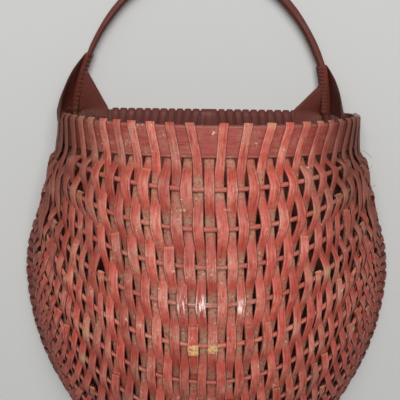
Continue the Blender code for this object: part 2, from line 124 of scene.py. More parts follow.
wall_paint, tree, output = new_material("matt_wall_emulsion")
matt = add_node(tree, "ShaderNodeBsdfDiffuse", {"Color": linear("b7b7b5")})
clear = add_node(tree, "ShaderNodeBsdfTransparent")
geometry = add_node(tree, "ShaderNodeNewGeometry")
path = add_node(tree, "ShaderNodeLightPath")
let_through = add_node(
    tree, "ShaderNodeMath", {"operation": "MAXIMUM"},
    {0: geometry.outputs["Backfacing"], 1: path.outputs["Is Shadow Ray"]},
)
mix = add_node(
    tree, "ShaderNodeMixShader", None,
    {0: let_through.outputs[0], 1: matt.outputs[0], 2: clear.outputs[0]},
)
tree.links.new(mix.outputs[0], output.inputs["Surface"])

bpy.ops.object.select_all(action="DESELECT")
bpy.ops.mesh.primitive_plane_add(size=WALL_SIZE, location=(0, WALL_Y, MIDDLE_Z), rotation=(radians(90), 0, 0))
wall = bpy.context.object
wall.name = "wall"
wall.data.materials.append(wall_paint)
bpy.ops.mesh.primitive_plane_add(size=WALL_SIZE, location=(0, WALL_Y - WALL_SIZE / 2, FLOOR_Z))
floor = bpy.context.object
floor.name = "floor"
floor.data.materials.append(wall_paint)
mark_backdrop(wall, floor)

# The light of a plain room: one broad soft lamp in front and a little high, a weak one from the left, one
# behind the wall for the back of the basket, and pale light from all round.
for name, place, size, power in (
    ("window", (0.05, -1.70, 0.52), 1.2, 41),
    ("room_lamp", (-0.9, -1.2, 0.9), 0.9, 2.5),
    ("back_lamp", (0.4, 1.9, 0.3), 1.3, 34),
):
    lamp_data = bpy.data.lights.new(name, "AREA")
    lamp_data.size = size
    lamp_data.energy = power
    lamp = bpy.data.objects.new(name, lamp_data)
    bpy.context.scene.collection.objects.link(lamp)
    lamp.location = place
    lamp.visible_camera = False
    lamp.rotation_euler = (Vector((0, 0, MIDDLE_Z)) - lamp.location).to_track_quat("-Z", "Y").to_euler()
world = bpy.data.worlds.new("room")
bpy.context.scene.world = world
world.use_nodes = True
background = world.node_tree.nodes["Background"]
background.inputs["Color"].default_value = linear("f2f3f5")
background.inputs["Strength"].default_value = 0.24
bpy.context.scene.view_settings.view_transform = "Standard"

# The bow handle and the frame hoop: one oak rod 9.3 mm thick, whittled to flat facets, steamed, bent to an
# egg shape in the wall plane and painted with the rest. It keeps its dark maroon paint, rubbed a little on
# the ridges.
ROD = 0.00465
EAR_X = 0.126
BOW_CENTRE_DROP = 0.040
BODY_WIDTH = 0.366
WIDEST_DROP = 0.165
BODY_DROP = 0.390
BAND_HEIGHT = 0.028
BOW_RISE = -RIM_TOP + ROD + BOW_CENTRE_DROP


def bow_half_width(z):
    """Half the width of the rod's outline above the rim."""
    at_rim = (1 - (BOW_CENTRE_DROP / BOW_RISE) ** 2) ** 0.5
    share = (z - RIM_TOP + BOW_CENTRE_DROP) / BOW_RISE
    return EAR_X / at_rim * max(0, 1 - share * share) ** 0.5


def hoop_half_width(z):
    """Half the width of the rod's outline below the rim."""
    down = RIM_TOP - z
    if down < BAND_HEIGHT:
        return bow_half_width(z)
    if down < WIDEST_DROP:
        start = bow_half_width(RIM_TOP - BAND_HEIGHT)
        share = (down - BAND_HEIGHT) / (WIDEST_DROP - BAND_HEIGHT)
        return start + (BODY_WIDTH / 2 - start) * sin(pi / 2 * share**1.1)
    share = (down - WIDEST_DROP) / (BODY_DROP - WIDEST_DROP)
    return BODY_WIDTH / 2 * max(0, 1 - share * share) ** 0.5


def hoop_line():
    """The lower half of the rod on the right, from the bottom to the ear."""
    points = []
    for i in range(13):
        z = RIM_TOP - WIDEST_DROP - (BODY_DROP - WIDEST_DROP) * cos(pi / 2 * i / 12)
        points.append(Vector((hoop_half_width(z), 0, z)))
    for i in range(1, 8):
        z = RIM_TOP - WIDEST_DROP * (1 - i / 7)
        points.append(Vector((hoop_half_width(z), 0, z)))
    return points


def bow_line():
    """The bow on the right, from the ear to the crown."""
    points = []
    start = asin(BOW_CENTRE_DROP / BOW_RISE)
    for i in range(1, 15):
        z = RIM_TOP - BOW_CENTRE_DROP + BOW_RISE * sin(start + (pi / 2 - start) * i / 14)
        points.append(Vector((bow_half_width(z), 0, z)))
    return points


def to_left(points):
    return [Vector((-p.x, p.y, p.z)) for p in points]


def smooth_curve(points, closed, spacing):
    """Samples a curve through the points: each sample is (place, last point passed, share of the way on).

    The knots are as far apart as the root of the way between the points, so close points make no loops.
    """
    count = len(points)
    samples = []
    for i in range(count if closed else count - 1):
        if closed:
            p = [points[(i + k) % count] for k in (-1, 0, 1, 2)]
        else:
            p = [points[min(max(i + k, 0), count - 1)] for k in (-1, 0, 1, 2)]
            p[0] = p[0] if i > 0 else 2 * p[1] - p[2]
            p[3] = p[3] if i < count - 2 else 2 * p[2] - p[1]
        gap = [max((b - a).length, 1e-6) ** 0.5 for a, b in zip(p, p[1:])]
        leave = ((p[1] - p[0]) / gap[0] - (p[2] - p[0]) / (gap[0] + gap[1]) + (p[2] - p[1]) / gap[1]) * gap[1]
        meet = ((p[2] - p[1]) / gap[1] - (p[3] - p[1]) / (gap[1] + gap[2]) + (p[3] - p[2]) / gap[2]) * gap[1]
        steps = max(1, round((p[2] - p[1]).length / spacing))
        for s in range(steps):
            u = s / steps
            place = (
                p[1] * (2 * u**3 - 3 * u * u + 1) + leave * (u**3 - 2 * u * u + u)
                + p[2] * (3 * u * u - 2 * u**3) + meet * (u**3 - u * u)
            )
            samples.append((place, i, u))
    if not closed:
        samples.append((points[-1], count - 2, 1.0))
    return samples


# A ring is one section of the wood: across is a unit vector, and level and wear are kept for the material.
# The level is 1 where the wood lies on top and -1 where it lies under, the wear is 1 where the paint is gone.
Ring = namedtuple("Ring", "place across half_width half_thick level wear")
GRAIN_APART = 3.7
SHARP_EDGE = 40


def bent_wood(name, rings, closed, sides, squareness, seed):
    """One length of wood bent along its rings: a grid laid round it, its seam merged and its ends closed.

    A squareness of 1 gives a round section. The seed sets the length's tone and gives it a grain of its own.
    """
    count = len(rings)
    rows = count + 1 if closed else count
    bpy.ops.object.select_all(action="DESELECT")
    bpy.ops.mesh.primitive_grid_add(x_subdivisions=sides, y_subdivisions=rows - 1, size=1, calc_uvs=True)
    piece = bpy.context.object
    piece.name = name
    places, levels, wears, lengths = [], [], [], []
    run = 0
    for j in range(rows):
        place, across, half_width, half_thick, level, wear = rings[j % count]
        before = rings[(j - 1) % count if closed else max(j - 1, 0)].place
        after = rings[(j + 1) % count if closed else min(j + 1, count - 1)].place
        along = (after - before).normalized()
        across = (across - along * across.dot(along)).normalized()
        up = along.cross(across)
        if j:
            run += (place - rings[(j - 1) % count].place).length
        lengths.append(run)
        for i in range(sides + 1):
            turn = tau * i / sides
            a, b = cos(turn), sin(turn)
            a = abs(a) ** squareness * (1 if a >= 0 else -1)
            b = abs(b) ** squareness * (1 if b >= 0 else -1)
            places.extend(place + across * (half_width * a) + up * (half_thick * b))
            levels.append(level)
            wears.append(wear)
    mesh = piece.data
    mesh.vertices.foreach_set("co", places)
    tones = [Random(seed).random()] * len(levels)
    for attribute, values in (("level", levels), ("wear", wears), ("tone", tones)):
        mesh.attributes.new(attribute, "FLOAT", "POINT").data.foreach_set("value", values)
    # Unrolled, the wood is 1 wide, however thick it is, and as long as it is in metres
    unrolled = []
    for loop in mesh.loops:
        j, i = divmod(loop.vertex_index, sides + 1)
        unrolled += [i / sides, lengths[j] + GRAIN_APART * seed]
    mesh.uv_layers[0].data.foreach_set("uv", unrolled)
    bpy.ops.object.mode_set(mode="EDIT")
    bpy.ops.mesh.select_all(action="SELECT")
    bpy.ops.mesh.remove_doubles(threshold=1e-6)
    if not closed:
        bpy.ops.mesh.select_all(action="DESELECT")
        bpy.ops.mesh.select_non_manifold(extend=False)
        bpy.ops.mesh.fill_holes(sides=0)
        bpy.ops.mesh.select_all(action="SELECT")
    bpy.ops.mesh.normals_make_consistent(inside=False)
    bpy.ops.object.mode_set(mode="OBJECT")
    bpy.ops.object.shade_smooth_by_angle(angle=radians(SHARP_EDGE))
    return piece


def dress(piece, material, material_slot, *nodes):
    """Gives a piece its material, hangs it on the basket and hides the nodes that it stands for."""
    piece.data.materials.clear()
    piece.data.materials.append(material)
    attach(piece, "root")
    if nodes:
        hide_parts(*nodes)


# A point just behind the middle of the back. What faces away from it is the outside of the belly.
HEART = (0, 0.02, MIDDLE_Z)
BELLY_FRONT = -0.141
CHIP_AND_GLINT_DROP = 0.152
PATCH_HALF_WIDTH = 0.0053


def painted_oak(name, deep, worn, pale, dusty, dust, darken_top, across=14, edge_wear_and_painted_light=1.0):
    """Old red milk paint on split oak: satin where handled, chalky where dusty, rubbed to bare oak on edges.

    Streaks follow the split grain, 1 to 1.5 mm wide and 17 mm long, with a finer grain in them. The real one
    is finer still and is drawn this coarse so that it shows. Colours run from the deep paint that is left in
    shade to the worn and pale paint of the outside, and to dusty ones where a splint dives under others, and
    painted highlights and painted shade are laid into them. Dust is how thick the dust lies, and darken_top
    how much painted shade darkens the wood by the wall near the rim. The last argument sets the lines along
    the
    edges: pale with rubbed paint and a painted highlight, and dark with dirt and painted shade. Across is how
    many streaks lie side by side round the wood.
    """
    made, tree, output = new_material(name)
    uv = add_node(tree, "ShaderNodeUVMap", {"uv_map": "UVMap"}).outputs[0]
    level, tone, wear = (
        add_node(tree, "ShaderNodeAttribute", {"attribute_name": kept}).outputs["Fac"]
        for kept in ("level", "tone", "wear")
    )
    spot = add_node(tree, "ShaderNodeTexCoord").outputs["Object"]
    x, y, z = add_node(tree, "ShaderNodeSeparateXYZ", None, {0: spot}).outputs
    # Streaks and fine grain are stretched along the wood. Blotches are 20 mm wide and specks 2.5 mm.
    noises = []
    for stretch, scale, detail, roughness in (
        ((across, 60, 1), 1, 4, 0.62), ((across * 3.4, 260, 1), 1, 3, 0.62),
        (None, 48, 4, 0.62), (None, 420, 2, 0.5),
    ):
        where = spot
        if stretch:
            where = add_node(tree, "ShaderNodeMapping", {"Scale": stretch}, {"Vector": uv}).outputs[0]
        noise = add_node(
            tree, "ShaderNodeTexNoise", {"Scale": scale, "Detail": detail, "Roughness": roughness},
            {"Vector": where},
        )
        noises.append(noise.outputs[0])
    streaks, fine, blotch, speck = noises
    # How far the surface looks out of the basket, from -1 on the inside to 1 on the outside
    from_heart = add_node(
        tree, "ShaderNodeVectorMath", {"operation": "SUBTRACT", 1: HEART}, {0: spot}
    ).outputs[0]
    outward = add_node(tree, "ShaderNodeVectorMath", {"operation": "NORMALIZE"}, {0: from_heart}).outputs[0]
    normal = add_node(tree, "ShaderNodeNewGeometry").outputs["Normal"]
    looks_out = add_node(
        tree, "ShaderNodeVectorMath", {"operation": "DOT_PRODUCT"}, {0: outward, 1: normal}
    ).outputs["Value"]
    # How near the surface is to a long edge of the wood, where the way round it is near 0, 0.5 or 1
    round_wood = add_node(tree, "ShaderNodeSeparateXYZ", None, {0: uv}).outputs[0]
    turn = add_node(tree, "ShaderNodeMath", {"operation": "MULTIPLY", 1: tau}, {0: round_wood}).outputs[0]
    wave = add_node(tree, "ShaderNodeMath", {"operation": "COSINE"}, {0: turn}).outputs[0]
    edge = add_node(tree, "ShaderNodeMath", {"operation": "ABSOLUTE"}, {0: wave}).outputs[0]

    def coat(paint, colour, *shares):
        """Lays a colour over the paint, as thick as its shares multiply to.

        A share is (value, low, high) and may add its top and its bottom: it goes from the bottom, or 0, where
        the value is at the low, to the top, or 1, where it is at the high.
        """
        thickness = None
        for value, low, high, *ends in shares:
            top, bottom = ends + [1.0, 0.0][len(ends) :]
            share = add_node(
                tree, "ShaderNodeMapRange",
                {"From Min": low, "From Max": high, "To Min": bottom, "To Max": top}, {"Value": value},
            ).outputs[0]
            if thickness is not None:
                share = add_node(
                    tree, "ShaderNodeMath", {"operation": "MULTIPLY"}, {0: thickness, 1: share}
                ).outputs[0]
            thickness = share
        return add_node(
            tree, "ShaderNodeMix", {"data_type": "RGBA", 7: linear(colour)}, {0: thickness, 6: paint}
        ).outputs[2]

    paint = add_node(tree, "ShaderNodeRGB").outputs[0]
    paint.default_value = linear(deep)
    paint = coat(paint, worn, (streaks, 0.22, 0.52))
    # Pale paint on the crowns, where the level is high and the blotches allow: sun-bleached wear, with a
    # painted highlight where the crowns face the light
    paint = coat(paint, pale, (level, -0.2, 0.95, 0.9), (blotch, 0.36, 0.62), (streaks, 0.30, 0.72))
    # Dust just above and below a rib, where the splint dives under its neighbours, and a film of it anywhere
    paint = coat(paint, dusty, (level, 0.0, -0.9), (speck, 0.34, 0.52, dust), (blotch, 0.36, 0.54, 1.0, 0.25))
    paint = coat(paint, dusty, (blotch, 0.50, 0.64), (speck, 0.34, 0.60, 0.62))
    # Edges rubbed pale, with a painted highlight where they catch the light, and a dark line of dirt and
    # painted shade along the very edge
    paint = coat(
        paint, "d9a592",
        (edge, 0.58, 0.74), (edge, 0.90, 0.80), (level, -0.3, 0.6, 0.6 * edge_wear_and_painted_light), (fine, 0.44, 0.58),
    )
    paint = coat(paint, "43160f", (edge, 0.78, 1.0), (fine, 0.26, 0.50, 0.85 * edge_wear_and_painted_light, 0.3 * edge_wear_and_painted_light))
    # Bare oak where the paint is gone, and a few pale chips on the outside
    paint = coat(paint, "ad8a68", (wear, 0.0, 1.0), (streaks, 0.34, 0.50))
    paint = coat(paint, "d9b3a2", (speck, 0.66, 0.70), (looks_out, 0.3, 0.7, 0.7), (blotch, 0.52, 0.60))
    # White flecks on the crowns in the middle of the belly, small ones and three long: chips where the basket
    # has been knocked, with painted glints of light among them
    for aside, reach, flecks, rare in (
        (0.0, 0.055, fine, 0.60), (-0.0225, 0.010, streaks, 0.50), (-0.0045, 0.012, streaks, 0.47),
        (0.031, 0.010, streaks, 0.49),
    ):
        chip_and_glint = (aside, BELLY_FRONT, RIM_TOP - CHIP_AND_GLINT_DROP)
        away = add_node(
            tree, "ShaderNodeVectorMath", {"operation": "DISTANCE", 1: chip_and_glint}, {0: spot}
        ).outputs["Value"]
        paint = coat(
            paint, "efdcd2", (away, reach, reach * 0.4), (level, 0.45, 0.75), (flecks, rare, rare + 0.08, 0.8)
        )
    # Two patches of bare oak lower down on the outside, each as wide as its splint
    for aside, top, bottom in ((-0.0117, 0.1875, 0.1985), (0.0061, 0.1880, 0.1965)):
        left = aside - PATCH_HALF_WIDTH
        right = aside + PATCH_HALF_WIDTH
        paint = coat(
            paint, "c9a56f", (level, 0.50, 0.62), (speck, 0.36, 0.50, 0.92), (y, -0.125, -0.130),
            (x, left, left + 0.0004), (x, right, right - 0.0004),
            (z, RIM_TOP - bottom, RIM_TOP - bottom + 0.0005), (z, RIM_TOP - top, RIM_TOP - top - 0.0012),
        )
    # Each length of wood has its own tone
    own_tone = add_node(
        tree, "ShaderNodeMapRange", {"To Min": 0.80, "To Max": 1.12}, {"Value": tone}
    ).outputs[0]
    tone_colour = add_node(
        tree, "ShaderNodeCombineColor", None, {0: own_tone, 1: own_tone, 2: own_tone}
    ).outputs[0]
    paint = add_node(
        tree, "ShaderNodeMix", {"data_type": "RGBA", "blend_type": "MULTIPLY", 0: 1.0},
        {6: paint, 7: tone_colour},
    ).outputs[2]
    # Painted shade, laid into the colour: darker on the faces that look into the basket, near the wall,
    # towards the bottom, by the wall near the rim and by the ears
    paint = coat(paint, "40130d", (looks_out, 0.35, -0.25, 0.92))
    # Painted shade on the parts near the wall, in patches
    paint = coat(paint, "55251a", (y, -0.090, -0.015, 0.74), (blotch, 0.25, 0.5))
    # Painted shade, darker towards the bottom, where less light falls
    paint = coat(paint, "4a1a10", (z, RIM_TOP - 0.185, RIM_TOP - 0.285, 0.26))
    # Painted shade by the wall near the rim, as strong as darken_top
    paint = coat(paint, "552620", (y, -0.050, -0.012), (z, RIM_TOP - 0.045, RIM_TOP - 0.015, darken_top))
    # Painted shade, darker and browner, by the ears from the rim's top down
    from_middle = add_node(tree, "ShaderNodeMath", {"operation": "ABSOLUTE"}, {0: x}).outputs[0]
    paint = coat(
        paint, "5c3024", (from_middle, 0.080, 0.130, 0.84),
        (z, RIM_TOP + 0.012, RIM_TOP), (z, RIM_TOP - 0.150, RIM_TOP - 0.020),
    )
    # The grain stands about 0.5 mm high, drawn high so that it shows, and the paint is satin to chalky
    grain = add_node(
        tree, "ShaderNodeMath", {"operation": "MULTIPLY_ADD", 1: 0.5}, {0: fine, 2: streaks}
    ).outputs[0]
    bump = add_node(
        tree, "ShaderNodeBump", {"Strength": 0.6, "Distance": 0.0008}, {"Height": grain}
    ).outputs[0]
    roughness = add_node(
        tree, "ShaderNodeMapRange", {"From Min": 0.35, "From Max": 0.65, "To Min": 0.42, "To Max": 0.70},
        {"Value": blotch},
    ).outputs[0]
    shader = add_node(
        tree, "ShaderNodeBsdfPrincipled", {"IOR": 1.47, "Specular IOR Level": 0.3},
        {"Base Color": paint, "Roughness": roughness, "Normal": bump},
    )
    tree.links.new(shader.outputs[0], output.inputs["Surface"])
    return made


THINNING_LENGTH = 0.05
BOW_ASIDE = 0.0035
LEFT_SIDE_ASIDE = 0.0045
RIGHT_FOOT_ASIDE = 0.006
RIGHT_FOOT_HEIGHT = 0.045


def whittled(place):
    """Half the rod's width, and how far it stands to the right, which is below 0 because it stands left.

    The bow is whittled thin from the rim's top up, and thinnest low on the left, where it also leans most.
    """
    height = place.z - RIM_TOP
    up = min(1, max(0, (height + THINNING_LENGTH) / THINNING_LENGTH))
    rise = min(1, max(0, (height - 0.05) / 0.075))
    half = 0.0025 + 0.0018 * rise if place.x < 0 else 0.0039 + 0.0006 * rise
    left_side = min(1, max(0, -place.x / 0.06))
    right_foot = (place.x > 0.06) * (1 - min(1, max(0, height / RIGHT_FOOT_HEIGHT)))
    aside = BOW_ASIDE + LEFT_SIDE_ASIDE * left_side + RIGHT_FOOT_ASIDE * right_foot
    return ROD + (half - ROD) * up, -up * aside


# Old milk paint, dark and nearly matt, with only a little wear on the ridges between the facets
rod_paint = painted_oak(
    "aged_maroon_milk_paint_on_whittled_oak",
    deep="431712", worn="6a3029", pale="8a4d43", dusty="6d4a3a", dust=0.3, darken_top=0.2, edge_wear_and_painted_light=0.4,
)
FACET_EDGE = 24
right_half = hoop_line() + bow_line()
outline = right_half + to_left(reversed(right_half[1:-1]))
rod_rings = []
for place, i, u in smooth_curve(outline, True, 0.006):
    wave = 1 + 0.035 * sin(place.z * 190 + place.x * 60)
    half, aside = whittled(place)
    rod_rings.append(Ring(place + Vector((aside, 0, 0)), Vector((0, 1, 0)), ROD * wave, half / wave, 0.1, 0))
rod = bent_wood("whittled_bow_and_hoop", rod_rings, True, 9, 0.9, 1)
bpy.ops.object.shade_smooth_by_angle(angle=radians(FACET_EDGE))
dress(rod, rod_paint, "painted_rod", "handle_hoop")

# The rim: one flat split-oak band, 28 mm high and 3 mm thick, bent to a D with its straight side by the wall.
# Its long grain runs round the basket and its front keeps an even rosy paint.
BAND_THICKNESS = 0.003
BAND_MIDDLE = RIM_TOP - BAND_HEIGHT / 2
RIM_WIDTH = 0.288
RIM_DEPTH = 0.1235
RIM_CORNER_DEPTH = 0.012
RIM_CORNER_WIDTH = 0.015
BACK_Y = 0.00675


def rim_front_line():
    points = []
    for i in range(13):
        angle = pi / 2 * i / 12
        depth = RIM_CORNER_DEPTH + (RIM_DEPTH - RIM_CORNER_DEPTH) * cos(angle)
        points.append(Vector((RIM_WIDTH / 2 * sin(angle), -depth, BAND_MIDDLE)))
    return points


def rim_corner_line():
    points = []
    for i in range(1, 9):
        angle = pi / 2 * i / 8
        x = RIM_WIDTH / 2 - RIM_CORNER_WIDTH * (1 - cos(angle))
        points.append(Vector((x, -RIM_CORNER_DEPTH + (RIM_CORNER_DEPTH + BACK_Y) * sin(angle), BAND_MIDDLE)))
    return points


# The band's paint is sheltered by the splints over it: even, with many fine streaks across its height
band_paint = painted_oak(
    "aged_red_milk_paint_on_oak_band",
    deep="66241b", worn="863a31", pale="a4594c", dusty="8a6453", dust=0.3, darken_top=1.0, across=64,
)
right_half = rim_front_line() + rim_corner_line()
rim_rings = [
    Ring(place, Vector((0, 0, 1)), BAND_HEIGHT / 2, BAND_THICKNESS / 2, 0.2, 0)
    for place, i, u in smooth_curve(right_half + to_left(reversed(right_half[1:])), True, 0.005)
]
band = bent_wood("split_oak_rim_band", rim_rings, True, 16, 0.35, 2)
dress(band, band_paint, "painted_band", "rim_hoop")

# The ribs: whittled oak rods 4.2 mm thick. Every third one runs from ear to ear, and the two between are
# pointed fillers that stop where the sides begin. They show as short pink bars between the splints.
RIB = 0.0021
FRONT_RIBS = 11
BACK_RIBS = 5
HOOP = FRONT_RIBS + 1
BACK_RIM = HOOP + BACK_RIBS + 1
BELLY_DEPTH = 0.140
BELLY_DROP = 0.150
FIRST_RIB_DROP = 0.040
UPPER_RIB_PITCH = 0.033
UPPER_RIBS = 4
PRIMARY_EVERY = 3
FILLER_SHARE = 0.72


def line_length(line):
    return sum((b - a).length for a, b in zip(line, line[1:]))


def belly_profile():
    """Places of the front ribs on the middle line, as (depth, drop below the band's middle)."""
    top_reach = (BELLY_DROP - BAND_HEIGHT / 2) / (1 - (RIM_DEPTH / BELLY_DEPTH) ** 2) ** 0.5
    steps = 600
    fine = []
    for i in range(steps + 1):
        drop = BAND_HEIGHT / 2 + (BODY_DROP - BAND_HEIGHT / 2) * sin(pi / 2 * i / steps)
        reach = top_reach if drop < BELLY_DROP else BODY_DROP - BELLY_DROP
        depth = BELLY_DEPTH * max(0, 1 - ((drop - BELLY_DROP) / reach) ** 2) ** 0.5
        fine.append(Vector((depth, drop - BAND_HEIGHT / 2)))
    upper = [FIRST_RIB_DROP + UPPER_RIB_PITCH * i for i in range(UPPER_RIBS)]
    length = line_length(fine)
    lower_pitch = (length - upper[-1]) / (FRONT_RIBS - UPPER_RIBS + 1)
    wanted = upper + [upper[-1] + lower_pitch * (i + 1) for i in range(FRONT_RIBS - UPPER_RIBS)]
    places = []
    run = 0
    for a, b in zip(fine, fine[1:]):
        run += (b - a).length
        if len(places) < len(wanted) and run >= wanted[len(places)]:
            places.append(b)
    return places


def front_rib_line(turn, reach, widest, centre):
    """A rib in the plane that turns by this angle about the ears: half an oval, drawn in to the ear."""
    points = []
    for i in range(11):
        angle = pi / 2 * i / 10
        points.append((widest * sin(angle), centre + (reach - centre) * cos(angle)))
    for i in range(1, 6):
        out = centre * (1 - i / 5)
        points.append((EAR_X + (widest - EAR_X) * sin(pi / 2 * out / centre), out))
    return [Vector((x, -out * cos(turn), BAND_MIDDLE - out * sin(turn))) for x, out in points]


def back_rib_line(share):
    """A rib in the flat back, this share of the way from the hoop up to the back rim."""
    hoop = hoop_line()
    length = line_length(hoop)
    points = []
    run = 0
    for before, here in zip([hoop[0]] + hoop, hoop):
        run += (here - before).length
        points.append(here.lerp(Vector((EAR_X * run / length, BACK_Y, BAND_MIDDLE)), share))
    return points


# The lines that the splints cross, each from the middle to the right ear: line 0 is the front rim, and then
# come the front ribs, the hoop, the back ribs and the back rim
LINES = [rim_front_line() + rim_corner_line()[:3]]
for depth, drop in belly_profile():
    share = atan2(drop, depth) / (pi / 2)
    widest = RIM_WIDTH / 2 + (BODY_WIDTH - RIM_WIDTH) / 2 * share**2.2
    centre = RIM_CORNER_DEPTH + (WIDEST_DROP - BAND_HEIGHT / 2 - RIM_CORNER_DEPTH) * share**1.3
    LINES.append(front_rib_line(atan2(drop, depth), hypot(depth, drop), widest, centre))
LINES.append(hoop_line())
LINES += [back_rib_line(i / (BACK_RIBS + 1)) for i in range(1, BACK_RIBS + 1)]
LINES.append([Vector((EAR_X * i / 6, BACK_Y, BAND_MIDDLE)) for i in range(7)])


def weave_reach(line):
    """How far from the ear's end of a line the weave stops."""
    if line == 0:
        return 0.040
    if line < HOOP:
        return 0.046 + 0.020 * min(1, line / (HOOP - PRIMARY_EVERY))
    if line == HOOP:
        return 0.080
    return 0.100 - 0.0735 * (line - HOOP) / (BACK_RIM - HOOP)


# The length of each line, from the middle on, that the weave takes up
FREE_LENGTH = [line_length(points) - weave_reach(line) for line, points in enumerate(LINES)]


def cut_line(line, length):
    kept = [line[0]]
    left = length
    for a, b in zip(line, line[1:]):
        step = (b - a).length
        if left <= step:
            kept.append(a + (b - a) * (left / step))
            break
        kept.append(b)
        left -= step
    return kept


# The ribs' paint is rubbed pink all round, with no pale or dark lines of wear, dirt, painted shade or painted
# highlight along its edges
rib_paint = painted_oak(
    "worn_pink_milk_paint_on_oak_rod",
    deep="82342a", worn="ab5446", pale="c97c6c", dusty="a87a60", dust=0.2, darken_top=0.6, edge_wear_and_painted_light=0.0,
)
POINT_LENGTH = 0.014
BARE_END_LENGTH = 0.018
for line in [k for k in range(1, BACK_RIM) if k != HOOP]:
    primary = line % PRIMARY_EVERY == 0
    reach = FREE_LENGTH[line] * (FILLER_SHARE + 0.01)
    if primary:
        reach = FREE_LENGTH[line] + weave_reach(line) * 0.4
    half = cut_line(LINES[line], reach)
    rings = []
    length = 0
    samples = smooth_curve(to_left(reversed(half[1:])) + half, False, 0.004)
    total = line_length([s[0] for s in samples])
    previous = samples[0][0]
    for place, i, u in samples:
        length += (place - previous).length
        previous = place
        end = min(length, total - length)
        point = 1 if primary else min(1, 0.45 + 0.55 * end / POINT_LENGTH)
        wave = 1 + 0.05 * sin(length * 130 + line)
        bare_end = 0 if primary else max(0, 1 - end / BARE_END_LENGTH)
        rings.append(Ring(place, Vector((0, 0, 1)), RIB * point * wave, RIB * point / wave, 0.6, bare_end))
    node = f"front_rib_{line:02d}" if line < HOOP else f"back_rib_{line - HOOP}"
    rib = bent_wood(f"rod_of_{node}", rings, False, 8, 1, 10 + line)
    dress(rib, rib_paint, "painted_rib", node)

# The splints: flat strips riven from oak, 4 to 10 mm wide and 1.5 mm thick with rounded faces. Each goes down
# the belly, under the hoop and up the back, over and under the ribs by turns, and comes back one place on.
chance = Random(7)
SPLINT_HALF_THICKNESS = 0.00075
BESIDE_RIM = 0.0002
OVER_RIM = 0.0004
SPLINT_SPACING = 0.0026
NARROWEST = 0.0019
NARROWEST_TURN = 0.0028
WIDEST = 0.0052
WIDEST_ON_RIM = 0.0041
# The rows of one half from the middle out, each with the first and the last line that it reaches, and the
# number in the name of the node that it stands for
ROWS = [(0, BACK_RIM)] * 6
ROWS += [(4, 14), (0, BACK_RIM), (2, 15), (0, BACK_RIM), (1, 13), (0, BACK_RIM), (5, 14), (0, BACK_RIM)]
ROWS += [(3, 15), (0, BACK_RIM), (3, 15), (0, BACK_RIM), (6, 15)]
NODE_OF_ROW = list(range(1, len(ROWS) + 1))
# Short lengths that fill the wide sides and the bottom, each put in after the row with this number. They have
# no node of their own in the solids.
for after, first, last in (
    (18, 6, 13), (18, 3, 13), (17, 8, 13), (16, 5, 14), (16, 3, 13), (15, 9, 13), (14, 7, 13),
    (14, 2, 14), (12, 8, 13), (12, 4, 13), (10, 7, 14), (10, 5, 13), (8, 8, 13), (6, 10, 13), (4, 9, 13),
):
    ROWS.insert(after, (first, last))
    NODE_OF_ROW.insert(after, None)


def row_weight(line, row):
    """A short row starts and ends narrow, so that its neighbours part for it little by little."""
    first, last = ROWS[row]
    start = 1 if first == 0 else min(1, 0.5 + 0.16 * (line - first))
    end = 1 if last == BACK_RIM else min(1, 0.45 + 0.25 * (last - line))
    return min(start, end)


def lay_out(line):
    """Where each row's two ways cross a line, and the room each takes up, as shares of its free length."""
    run = 0.5
    spots = {}
    for row, (first, last) in enumerate(ROWS):
        if first <= line <= last:
            weight = row_weight(line, row)
            spots[row, False] = (run + 0.5 * weight, weight)
            spots[row, True] = (run + 1.5 * weight, weight)
            run += 2 * weight
    return {key: (at / run, weight / run) for key, (at, weight) in spots.items()}


LAID_OUT = [lay_out(line) for line in range(BACK_RIM + 1)]


def crowding(line):
    """How much closer together places lie at the sides than in the middle: nothing on the back rim."""
    return 0.30 * min(1, (BACK_RIM - line) / (BACK_RIM - HOOP))


def along_line(line, row, coming_back):
    """How far from the middle a row crosses a line."""
    share = LAID_OUT[line][row, coming_back][0]
    return share * (1 + crowding(line) * (1 - share)) * FREE_LENGTH[line]


def splint_half_width(line, row, coming_back, side):
    """The weave is tight, and the splints' edges lie on each other, but on the right side of the belly."""
    share, own = LAID_OUT[line][row, coming_back]
    pitch = own * (1 + crowding(line) * (1 - 2 * share)) * FREE_LENGTH[line]
    tight = 0.64 if line > HOOP else 0.57 if side < 0 else 0.57 - 0.06 * min(1, share / 0.4)
    first = ROWS[row][0]
    least = NARROWEST_TURN if first and line - first <= 1 else NARROWEST
    own_width = 0.95 + 0.16 * Random(31 * row + 7 * coming_back + side).random()
    return max(least, min(WIDEST, tight * pitch)) * own_width * (1 + 0.05 * chance.uniform(-1, 1))


def zigzag(along, line):
    """How far a splint swings aside at a rib, as a share of its half width: least in the middle."""
    share = along / FREE_LENGTH[line]
    return 0.16 + 0.24 * max(0, min(1, share / 0.35))


def place_on(line, along):
    """The point this far along a line from the middle; left of the middle is negative."""
    side = -1 if along < 0 else 1
    left = abs(along)
    for a, b in zip(LINES[line], LINES[line][1:]):
        step = (b - a).length
        if left <= step:
            break
        left -= step
    point = a + (b - a) * (left / step)
    return Vector((point.x * side, point.y, point.z))


def crosses(line, row):
    """Does a row reach this rib, or pass beyond its pointed end?"""
    return line % PRIMARY_EVERY == 0 or LAID_OUT[line][row, True][0] <= FILLER_SHARE


MOST_LEAN = 0.0055


def lean(line, along):
    """The real columns lean: each rib's places are pushed a little to the right, in metres."""
    if line <= 1 or line >= HOOP:
        return 0
    push = MOST_LEAN * sin(pi * min(1, (line - 1) / 5) / 2) * (1 if line < 8 else (HOOP - line) / 5)
    return push * (1 - abs(along) / FREE_LENGTH[line])


Crossing = namedtuple("Crossing", "at across before after out")


